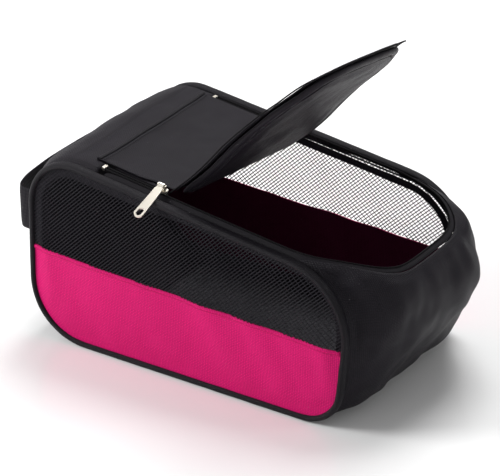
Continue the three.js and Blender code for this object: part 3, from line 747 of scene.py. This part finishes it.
def rods_on_points(tree, entry):
    """A short rod at every point, lying along the point's stored direction."""
    rod = tree.nodes.new("GeometryNodeMeshCylinder")
    rod.inputs["Vertices"].default_value = 8
    tree.links.new(entry["Radius"], rod.inputs["Radius"])
    tree.links.new(entry["Length"], rod.inputs["Depth"])
    place = tree.nodes.new("GeometryNodeInstanceOnPoints")
    tree.links.new(entry["Geometry"], place.inputs["Points"])
    tree.links.new(rod.outputs["Mesh"], place.inputs["Instance"])
    lying = tree.nodes.new("GeometryNodeInputNamedAttribute")
    lying.data_type = "FLOAT_VECTOR"
    lying.inputs["Name"].default_value = "lie"
    turned = tree.nodes.new("FunctionNodeAlignEulerToVector")
    turned.axis = "Z"
    tree.links.new(lying.outputs["Attribute"], turned.inputs["Vector"])
    tree.links.new(turned.outputs[0], place.inputs["Rotation"])
    return place.outputs[0]


def strands_on_edges(tree, entry):
    """A thin round strand along every edge."""
    lines = tree.nodes.new("GeometryNodeMeshToCurve")
    tree.links.new(entry["Geometry"], lines.inputs[0])
    ring = tree.nodes.new("GeometryNodeCurvePrimitiveCircle")
    ring.inputs["Resolution"].default_value = 4
    tree.links.new(entry["Radius"], ring.inputs["Radius"])
    strands = tree.nodes.new("GeometryNodeCurveToMesh")
    strands.inputs["Fill Caps"].default_value = True
    tree.links.new(lines.outputs[0], strands.inputs["Curve"])
    tree.links.new(ring.outputs[0], strands.inputs["Profile Curve"])
    return strands.outputs[0]


RODS = repeat_tree("Rods on points", rods_on_points)
STRANDS = repeat_tree("Strands on edges", strands_on_edges)


def repeat(name, tree, points, edges, lies, length, radius, material):
    """Runs a repeating tree over points or edges; lies holds each point's direction, or is None."""
    mesh = bpy.data.meshes.new(name)
    mesh.from_pydata([tuple(p) for p in points], edges, [])
    if lies:
        stored = mesh.attributes.new("lie", "FLOAT_VECTOR", "POINT")
        for item, direction in zip(stored.data, lies):
            item.vector = direction
    made = link_object(name, mesh)
    modifier = made.modifiers.new("repeat", "NODES")
    modifier.node_group = tree
    sockets = {s.name: s.identifier for s in tree.interface.items_tree if s.in_out == "INPUT"}
    modifier[sockets["Length"]] = length
    modifier[sockets["Radius"]] = radius
    modifier[sockets["Material"]] = material
    return bake(made)


def evenly_along(line, pitch):
    """Points at an even pitch along a line of (point, direction) pairs."""
    result = []
    left = pitch / 2
    for (a, da), (b, db) in zip(line, line[1:]):
        span = (b - a).length
        at = left
        while at < span:
            t = at / span
            result.append((a.lerp(b, t), da.lerp(db, t).normalized()))
            at += pitch
        left = at - span
    return result


def rounded(line, rounds=3):
    """Cuts the corners of a line of (point, direction) pairs until it runs smoothly."""
    for _ in range(rounds):
        cut = [line[0]]
        for (a, da), (b, db) in zip(line, line[1:]):
            cut.append((a.lerp(b, 0.25), da.lerp(db, 0.25).normalized()))
            cut.append((a.lerp(b, 0.75), da.lerp(db, 0.75).normalized()))
        line = cut + [line[-1]]
    return line


def ribbon_line(node, inside, width):
    """The middle of a ribbon's outer face, end to end, with the direction across it at each point."""
    bm = skin_of(node, inside)
    rungs = []
    for edge in bm.edges:
        a, b = edge.verts
        if abs(edge.calc_length() - width) < 0.25 * width:
            middle = (a.co + b.co) / 2
            across = (a.co - b.co).normalized()
            rungs.append((middle, across))
    bm.free()
    rungs.sort(key=lambda r: (r[0].y > 0, r[0].x))
    line = [rungs.pop(0)]
    while rungs:
        here, across = line[-1]
        nearest = min(range(len(rungs)), key=lambda k: (rungs[k][0] - here).length)
        point, turn = rungs.pop(nearest)
        if (point - here).length > 0.1 * MM:
            line.append((point, turn if turn.dot(across) > 0 else -turn))
    return line


def stitch_row(name, line, body, material=THREAD):
    """Stitches lying along a line of (point, up) pairs."""
    points = [p for p, _ in evenly_along(line, STITCH_PITCH)]
    lies = [(b - a).normalized() for a, b in zip(points, points[1:])]
    lies.append(lies[-1])
    made = repeat(name, RODS, points, [], lies, STITCH_LENGTH, STITCH_RADIUS, material)
    return finish_piece(made, body, "lining_fabric")


# ---- side panels: cloth below, net above, piping round the edge ----
def side_stand(x, z, low, high):
    """How far the side cloth stands out of its plane, with slanting pulls that grow towards the toe."""
    height = max(0.0, min(1.0, (z - low) / max(high - low, MM)))
    crown = SIDE_CROWN * math.sin(math.pi * height) ** 0.8
    slant = Vector((x * 26 + z * 16, z * 5 - x * 4, 0.4))
    towards_toe = 0.35 + 0.65 * smooth_step((x + 0.12) / 0.2)
    pulls = noise.noise(slant) * SIDE_PULL * towards_toe
    ripple = noise.noise(Vector((x * 60, z * 45, 2.0))) * SIDE_RIPPLE
    return crown + pulls + ripple


def pink_panel(shape):
    """The lower cloth, from the bottom of the side up to the seam."""
    columns, rows = 130, 36
    points, faces = [], []
    for i in range(columns + 1):
        share = 0.5 - 0.5 * math.cos(math.pi * (0.004 + 0.992 * i / columns))
        x = shape.left + (shape.right - shape.left) * share
        low, high = shape.limits(x)
        high = max(min(high, shape.seam(x)), low + 0.05 * MM)
        points += [shape.point(x, low + (high - low) * j / rows) for j in range(rows + 1)]
    for i in range(columns):
        for j in range(rows):
            a = i * (rows + 1) + j
            quad = (a, a + rows + 1, a + rows + 2, a + 1)
            faces.append(quad if shape.side < 0 else quad[::-1])
    # The inside face takes the backing material, whose dark maroon is partly painted shade.
    piece = from_faces(f"{shape.name}_pink_cloth", points, faces, PINK, MAROON)
    thicken(piece, SIDE_CLOTH_THICKNESS, inner_material=1)
    finish_piece(piece, "bag", "pink_fabric", f"{shape.name}_side_panel")


def net_panel(shape):
    """Open net: strands crossing on the slant, cut off under the piping."""
    low, high = box(f"{shape.name}_mesh_panel")
    height = high[2] - low[2] + 10 * MM
    base = low[2] - 5 * MM
    reach = height / NET_SLOPE
    points, edges = [], []
    for lean, pitch in NET_PITCH.items():
        start = shape.left - (reach if lean > 0 else 0)
        for k in range(int((shape.right - shape.left + reach) / pitch) + 1):
            previous = None
            for i in range(int(reach / NET_STEP) + 2):
                run = i * NET_STEP
                x = start + k * pitch + lean * run
                z = base + NET_SLOPE * run
                floor_z, ceiling_z = shape.limits(x)
                inside = shape.left < x < shape.right and z <= ceiling_z
                if inside and z >= max(floor_z, shape.seam(x) - MM):
                    points.append(shape.point(x, z))
                    if previous is not None:
                        edges.append((previous, len(points) - 1))
                    previous = len(points) - 1
                else:
                    previous = None
    piece = repeat(f"{shape.name}_net", STRANDS, points, edges, None, 0.0, NET_STRAND, NET)
    finish_piece(piece, "bag", "mesh_fabric", f"{shape.name}_mesh_panel")
    shape.net_area()


def hem_band(shape):
    """The cloth hem behind the net's edge, under the piping at the heel and along the top."""
    kept = [(p, n) for p, n in shape.outline if p.y > shape.seam(p.x) - 2 * MM]
    first = next(k for k in range(len(kept)) if (kept[k][0] - kept[k - 1][0]).length > 0.02)
    kept = kept[first:] + kept[:first]
    rows = 4
    points, faces = [], []
    for p, n in kept:
        width = HEM_WIDTH * (0.35 + 0.65 * smooth_step((0.13 - p.x) / 0.2))
        for j in range(rows):
            q = p - n * (1.4 * MM + width * j / (rows - 1))
            points.append(shape.point(q.x, q.y, behind=1.5 * MM))
    for i in range(len(kept) - 1):
        for j in range(rows - 1):
            a = i * rows + j
            faces.append((a, a + rows, a + rows + 1, a + 1))
    piece = from_faces(f"{shape.name}_net_hem", points, faces, HEM)
    if sum(f.normal.y * f.area for f in piece.data.polygons) * shape.side < 0:
        piece.data.flip_normals()
    thicken(piece, 0.6 * MM)
    finish_piece(piece, "bag", "black_fabric")


def piping(shape):
    """A folded strip sewn over the edges of the side and the walls, all round."""
    half_width, half_depth = PIPING_WIDTH / 2, PIPING_DEPTH / 2
    outline, side = shape.outline, shape.side
    path = shape.path_inside(half_width, HALF_WIDTH - half_depth)
    sides = 16
    squareness = 2.6

    def section(i):
        p = outline[i][0]
        swell = 1 + 0.06 * noise.noise(Vector((p.x * 55, p.y * 55, side)))
        ring = []
        for k in range(sides):
            a = 2 * math.pi * k / sides
            c, s = math.cos(a), math.sin(a)
            r = swell / (abs(c) ** squareness + abs(s) ** squareness) ** (1 / squareness)
            ring.append((min(r * c, 1.0) * half_width, min(r * s, 1.0) * half_depth))
        return ring

    piece = sweep(f"{shape.name}_piping", path, section, PIPING)
    finish_piece(piece, "bag", "black_fabric", f"{shape.name}_edge_binding")
    stitched = shape.path_inside(PIPING_WIDTH - 1.1 * MM, HALF_WIDTH - 1.5 * MM)
    line = [(centre, outward) for centre, _, outward in stitched]
    stitch_row(f"{shape.name}_piping_stitches", line + line[:1], "bag")


def seam_allowance(shape):
    """The walls' turned edges, which run into the piping from inside."""
    depth, half_reach = 3.6 * MM, 3.6 * MM
    path = shape.path_inside(depth, 101.5 * MM - half_reach)
    half = 0.7 * MM
    ring = [(half, -half_reach), (half, half_reach), (-half, half_reach), (-half, -half_reach)]
    piece = sweep(f"{shape.name}_wall_allowance", path, lambda i: ring, PIPING)
    finish_piece(piece, "bag", "black_fabric")


def seam_fold(shape):
    """The turned edge of the lower cloth where the net is sewn to it."""
    side = shape.side
    path = []
    count = 110
    for i in range(count + 1):
        x = shape.left + 2 * MM + (shape.right - shape.left - 4 * MM) * i / count
        z = shape.seam(x)
        low, high = shape.limits(x)
        if low < z < high:
            centre = shape.point(x, z - 2.2 * MM) + Vector((0, side * 0.35 * MM, 0))
            path.append((centre, Vector((0, 0, 1)), Vector((0, side, 0))))
    ring = oval(2.0 * MM, 0.7 * MM, 8)
    piece = sweep(f"{shape.name}_seam_fold", path, lambda i: ring, PINK, closed=False)
    finish_piece(piece, "bag", "pink_fabric")
    line = [(centre + Vector((0, side * 0.75 * MM, 0)), Vector((0, side, 0))) for centre, _, _ in path]
    stitch_row(f"{shape.name}_seam_stitches", line, "bag", PINK)


# ---- walls ----
def wall_cloth(node, name, displacement, edge=0.012):
    """The outer side of a wall node as cloth, lined inside."""
    bm = skin_of(node, BAG_MIDDLE)
    piece = from_bmesh(name, bm, BLACK, LINING)
    subdivide(piece, 2)
    shape_cloth(piece, displacement, edge)
    thicken(piece, CLOTH_THICKNESS, inner_material=1)
    finish_piece(piece, "bag", "black_fabric", node)


def toe_folds(p):
    """Gathers that run down from the zip, and broad dents in the unsupported cloth."""
    low, high = box("toe_wall")
    down = (high[2] - p.z) / (high[2] - low[2])
    gathers = TOE_GATHER * noise.noise(Vector((p.y * 70, down * 2.5, 5.0))) * (1 - smooth_step(down / 0.6))
    dents = TOE_DENT * folds(p, 0.07, 3.0)
    creases = TOE_CREASE * noise.noise(Vector((p.y * 24 + p.z * 34, p.z * 10, 1.0)))
    off_middle = ((p.y - TOE_BULGE_Y) / TOE_BULGE_HALF_WIDTH) ** 2
    off_height = ((p.z - TOE_BULGE_Z) / TOE_BULGE_HALF_HEIGHT) ** 2
    return gathers + dents + creases + TOE_BULGE * math.exp(-off_middle - off_height)


def heel_folds(p):
    """The heel leans back over its own base, and its cloth sinks in long soft waves."""
    lean = 0.0
    if p.x < HEEL_BEHIND_X:
        lean = HEEL_LEAN * math.exp(-((p.z - HEEL_LEAN_Z) / HEEL_LEAN_SPREAD) ** 2)
    ripple = HEEL_RIPPLE * noise.noise(Vector((p.y * 16, p.z * 40, 3.0)))
    return lean + HEEL_WAVE * folds(p, 0.08, 8.0) + ripple


# ---- lid ----
FOLD_POINT = Vector(joints["lid_fold"]["pos_m"])
FOLD_AXIS = Vector(joints["lid_fold"]["axis"]).normalized()


def lid_directions():
    """The direction from the fold to the lid's end, the lid's length, and the way its outside faces."""
    corners = [v.co for v in nodes["lid_panel"].data.vertices]
    end = max(corners, key=lambda p: (p - FOLD_POINT).length) - FOLD_POINT
    along = (end - FOLD_AXIS * end.dot(FOLD_AXIS)).normalized()
    outward = along.cross(FOLD_AXIS)
    if outward.x > 0:
        outward = -outward
    return along, max((p - FOLD_POINT).dot(along) for p in corners), outward


LID_ALONG, LID_LENGTH, LID_OUTWARD = lid_directions()


def off_fold(p):
    """Distance from the line the lid folds about."""
    d = p - FOLD_POINT
    return (d - FOLD_AXIS * d.dot(FOLD_AXIS)).length


def lid_bow(p):
    """How far the soft lid bows out of its plane: in near the fold, out past its middle."""
    t = (p - FOLD_POINT).dot(LID_ALONG) / LID_LENGTH
    t = max(0.0, min(1.0, t))
    out = LID_BOW_OUT * math.sin(math.pi * t ** 1.3) ** 1.5
    return out - LID_BOW_IN * math.sin(math.pi * min(1.0, t / 0.4))


def bow_lid_piece(piece):
    for vertex in piece.data.vertices:
        vertex.co += LID_OUTWARD * lid_bow(vertex.co)
    piece.data.update()


def edge_lift(share):
    """How far the top cloth's edge stands up over the zip, at a share of its half width."""
    return EDGE_LIFT * smooth_step((share - EDGE_LIFT_START) / (1 - EDGE_LIFT_START))


def top_cloth():
    """One cloth from the heel seam over the fold to the end of the lid, lapping over the closed zip."""
    bm = skin_of("lid_panel", UNDER_LID)
    fold_row = [v for v in bm.verts if v.is_boundary and off_fold(v.co) < 4 * MM]
    fold_row.sort(key=lambda v: v.co.y)
    for v in bm.verts:
        v.co += LID_OUTWARD * lid_bow(v.co)
    low, high = box("rear_top_panel")
    near_wide, far_wide = -fold_row[0].co.y, fold_row[-1].co.y
    lap_end = {-1: box("near_slider")[0][0] - 3 * MM, 1: box("far_slider")[0][0] - 3 * MM}
    rows = 16
    previous = fold_row
    for k in range(1, rows + 1):
        row = []
        for v in fold_row:
            side = -1 if v.co.y < 0 else 1
            share = abs(v.co.y) / (near_wide if side < 0 else far_wide)
            end = Vector((low[0] - HEEL_REACH, v.co.y, high[2] + HEEL_RISE))
            p = v.co.lerp(end, k / rows)
            lap = TOP_LAP * smooth_step((lap_end[side] - p.x) / 0.016)
            p.y = side * share * (high[1] + lap)
            p.z += edge_lift(share) * lap / TOP_LAP
            row.append(bm.verts.new(p))
        for a, b, c, d in zip(previous, previous[1:], row[1:], row):
            bm.faces.new((a, b, c, d))
        previous = row
    bmesh.ops.recalc_face_normals(bm, faces=bm.faces)
    if sum((f.normal.z * f.calc_area() for f in bm.faces)) < 0:
        bmesh.ops.reverse_faces(bm, faces=bm.faces)
    piece = from_bmesh("top_cloth", bm, BLACK, LINING)
    subdivide(piece, 2)

    def soft_top(p):
        near_fold = math.exp(-(off_fold(p) / 0.03) ** 2)
        behind = smooth_step((FOLD_POINT.x - p.x) / 0.02)
        return TOP_SLACK * (folds(p, 0.06, 12.0) - near_fold - behind)

    shape_cloth(piece, soft_top, edge=0.022)
    thicken(piece, CLOTH_THICKNESS, inner_material=1)
    finish_piece(piece, None, "black_fabric", "rear_top_panel", "lid_panel")
    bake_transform(piece)


def heel_seam():
    """The turned end of the top cloth, sewn down over the heel wall."""
    low, high = box("rear_top_panel")
    half = high[1] + TOP_LAP
    count = 60
    path = []
    for i in range(count + 1):
        y = half * (2 * i / count - 1)
        waver = 0.6 * MM * noise.noise(Vector((y * 30, 0, 0)))
        z = high[2] + 1.5 * MM + edge_lift(abs(y) / half)
        path.append((Vector((low[0] - HEEL_REACH + waver, y, z)), Vector((1, 0, 0)), Vector((0, 0, 1))))
    ring = oval(2.4 * MM, 1.5 * MM, 10)
    piece = sweep("heel_seam_roll", path, lambda i: ring, PIPING, closed=False)
    finish_piece(piece, "bag", "black_fabric")
    line = [(p + Vector((5 * MM, 0, 0.4 * MM)), up) for p, _, up in path]
    stitch_row("heel_seam_stitches", line, "bag")


def lid_pad():
    """The padded lining of the lid: full in the middle and drawn in at its sewn border."""
    bm = skin_of("lid_lining", UNDER_LID, facing_in=True)
    piece = from_bmesh("lid_pad", bm, LINING)
    subdivide(piece, 3)

    def crown(p):
        return PAD_CROWN + PAD_CROWN * folds(p, 0.07, 21.0) + 0.5 * MM * folds(p, 0.02, 4.0)

    shape_cloth(piece, crown, edge=0.016)
    thicken(piece, PAD_THICKNESS)
    bow_lid_piece(piece)
    finish_piece(piece, "lid", "lining_fabric", "lid_lining", "lid_foam")


def soft_copy(node, name, material, body, slot, levels=2, crumple=0.0):
    """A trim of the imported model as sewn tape: its edges rolled round and a little uneven."""
    bm = merged_copy(node)
    join_into_quads(bm)
    piece = from_bmesh(name, bm, material)
    subdivide(piece, levels)
    if crumple:
        for vertex in piece.data.vertices:
            vertex.co += vertex.normal * (crumple * folds(vertex.co, 0.02, 2.0))
        piece.data.update()
    if body == "lid":
        bow_lid_piece(piece)
    finish_piece(piece, body, slot, node)


def teeth_row(name, node, inside, body):
    """Round zip teeth, side by side along the middle of a teeth node."""
    line = rounded(ribbon_line(node, inside, TEETH_RIBBON_WIDTH))
    placed = evenly_along(line, TOOTH_PITCH)
    points = [p + LID_OUTWARD * lid_bow(p) if body == "lid" else p for p, _ in placed]
    lies = [across for _, across in placed]
    piece = repeat(name, RODS, points, [], lies, TOOTH_LENGTH, TOOTH_RADIUS, COIL)
    finish_piece(piece, body, "zip_teeth", node)


# ---- handle ----
def handle_strap():
    """Wide webbing that stands off the heel, square at its ends and flat along its middle."""
    low, high = box("carry_handle")
    reach = high[0] - low[0]
    half_width = min(abs(low[1]), abs(high[1]))
    anchor = box("near_handle_anchor")
    start_x = anchor[0][0] - 0.2 * MM
    height = anchor[1][2] - anchor[0][2]
    middle_z = (low[2] + high[2]) / 2
    count = 72
    centre = []
    for i in range(count + 1):
        a = math.pi * i / count
        bow = (reach - 2 * MM) * math.sin(a) ** 0.42
        centre.append(Vector((start_x - bow, -half_width * math.cos(a) * 0.985, middle_z)))
    for _ in range(2):
        inner = [(a + b * 2 + c) / 4 for a, b, c in zip(centre, centre[1:], centre[2:])]
        centre = [centre[0]] + inner + [centre[-1]]
    path = []
    for i, p in enumerate(centre):
        along = (centre[min(i + 1, len(centre) - 1)] - centre[max(i - 1, 0)]).normalized()
        path.append((p, Vector((-along.y, along.x, 0)), Vector((0, 0, 1))))

    def section(i):
        sway = 0.5 * MM * noise.noise(Vector((i * 0.12, 0, 0)))
        ring = []
        for face in (1, -1):
            for k in range(13):
                t = face * (-1 + 2 * k / 12)
                half_thickness = WEBBING_THICKNESS / 2 * (1 - 0.5 * abs(t) ** 8)
                ring.append((face * half_thickness + sway, height / 2 * t))
        return ring

    piece = sweep("webbing_handle", path, section, WEBBING, closed=False)
    finish_piece(piece, None, "webbing", "carry_handle")
    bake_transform(piece)


def handle_anchors():
    """The handle's sewn ends, each held by two rows of stitches."""
    for name in SIDES:
        soft_copy(f"{name}_handle_anchor", f"{name}_handle_end", WEBBING, "bag", "webbing")
        low, high = box(f"{name}_handle_anchor")
        for row, share in (("inner", 0.3), ("outer", 0.7)):
            y = low[1] + (high[1] - low[1]) * share
            x = low[0] - 0.1 * MM
            line = [(Vector((x, y, z)), Vector((-1, 0, 0))) for z in (low[2] + 3 * MM, high[2] - 3 * MM)]
            stitch_row(f"{name}_{row}_anchor_stitches", line, "bag")


# ---- put together ----
make_camera()
make_studio()

for label, sign in SIDES.items():
    shape = SideShape(label, sign)
    pink_panel(shape)
    net_panel(shape)
    hem_band(shape)
    piping(shape)
    seam_allowance(shape)
    seam_fold(shape)

wall_cloth("toe_wall", "toe_cloth", toe_folds)
wall_cloth("heel_wall", "heel_cloth", heel_folds, edge=0.028)
wall_cloth("base_panel", "base_cloth", slack(0.3 * MM, 0.05, 1.0))
top_cloth()
heel_seam()
lid_pad()
soft_copy("lid_edge_binding", "lid_border", LINING, "lid", "lining_fabric", crumple=0.5 * MM)
soft_copy("lid_zip_tape", "lid_tape", TAPE, "lid", "zip_tape")
soft_copy("body_zip_tape", "opening_tape", TAPE, "bag", "zip_tape")
soft_copy("opening_binding", "opening_rim", LINING, "bag", "lining_fabric", crumple=0.4 * MM)
soft_copy("near_rear_zip_tape", "near_rear_tape", TAPE, "bag", "zip_tape", levels=1)
soft_copy("far_rear_zip_tape", "far_rear_tape", TAPE, "bag", "zip_tape", levels=1)
soft_copy("near_seam_tape", "near_inner_seam", LINING, "bag", "lining_fabric", crumple=0.5 * MM)
soft_copy("far_seam_tape", "far_inner_seam", LINING, "bag", "lining_fabric", crumple=0.5 * MM)
teeth_row("opening_teeth", "body_zip_teeth", BAG_MIDDLE, "bag")
teeth_row("lid_teeth", "lid_zip_teeth", UNDER_LID, "lid")
teeth_row("near_closed_teeth", "near_rear_zip_teeth", BAG_MIDDLE, "bag")
teeth_row("far_closed_teeth", "far_rear_zip_teeth", BAG_MIDDLE, "bag")
handle_strap()
handle_anchors()

carried = {name: METAL for name in ("near_slider", "far_slider", "near_pull", "far_pull",
                                    "near_end_stop", "far_end_stop")}
carried["base_board"] = BOARD
for plain, finish in carried.items():
    nodes[plain].data.materials.clear()
    nodes[plain].data.materials.append(finish)
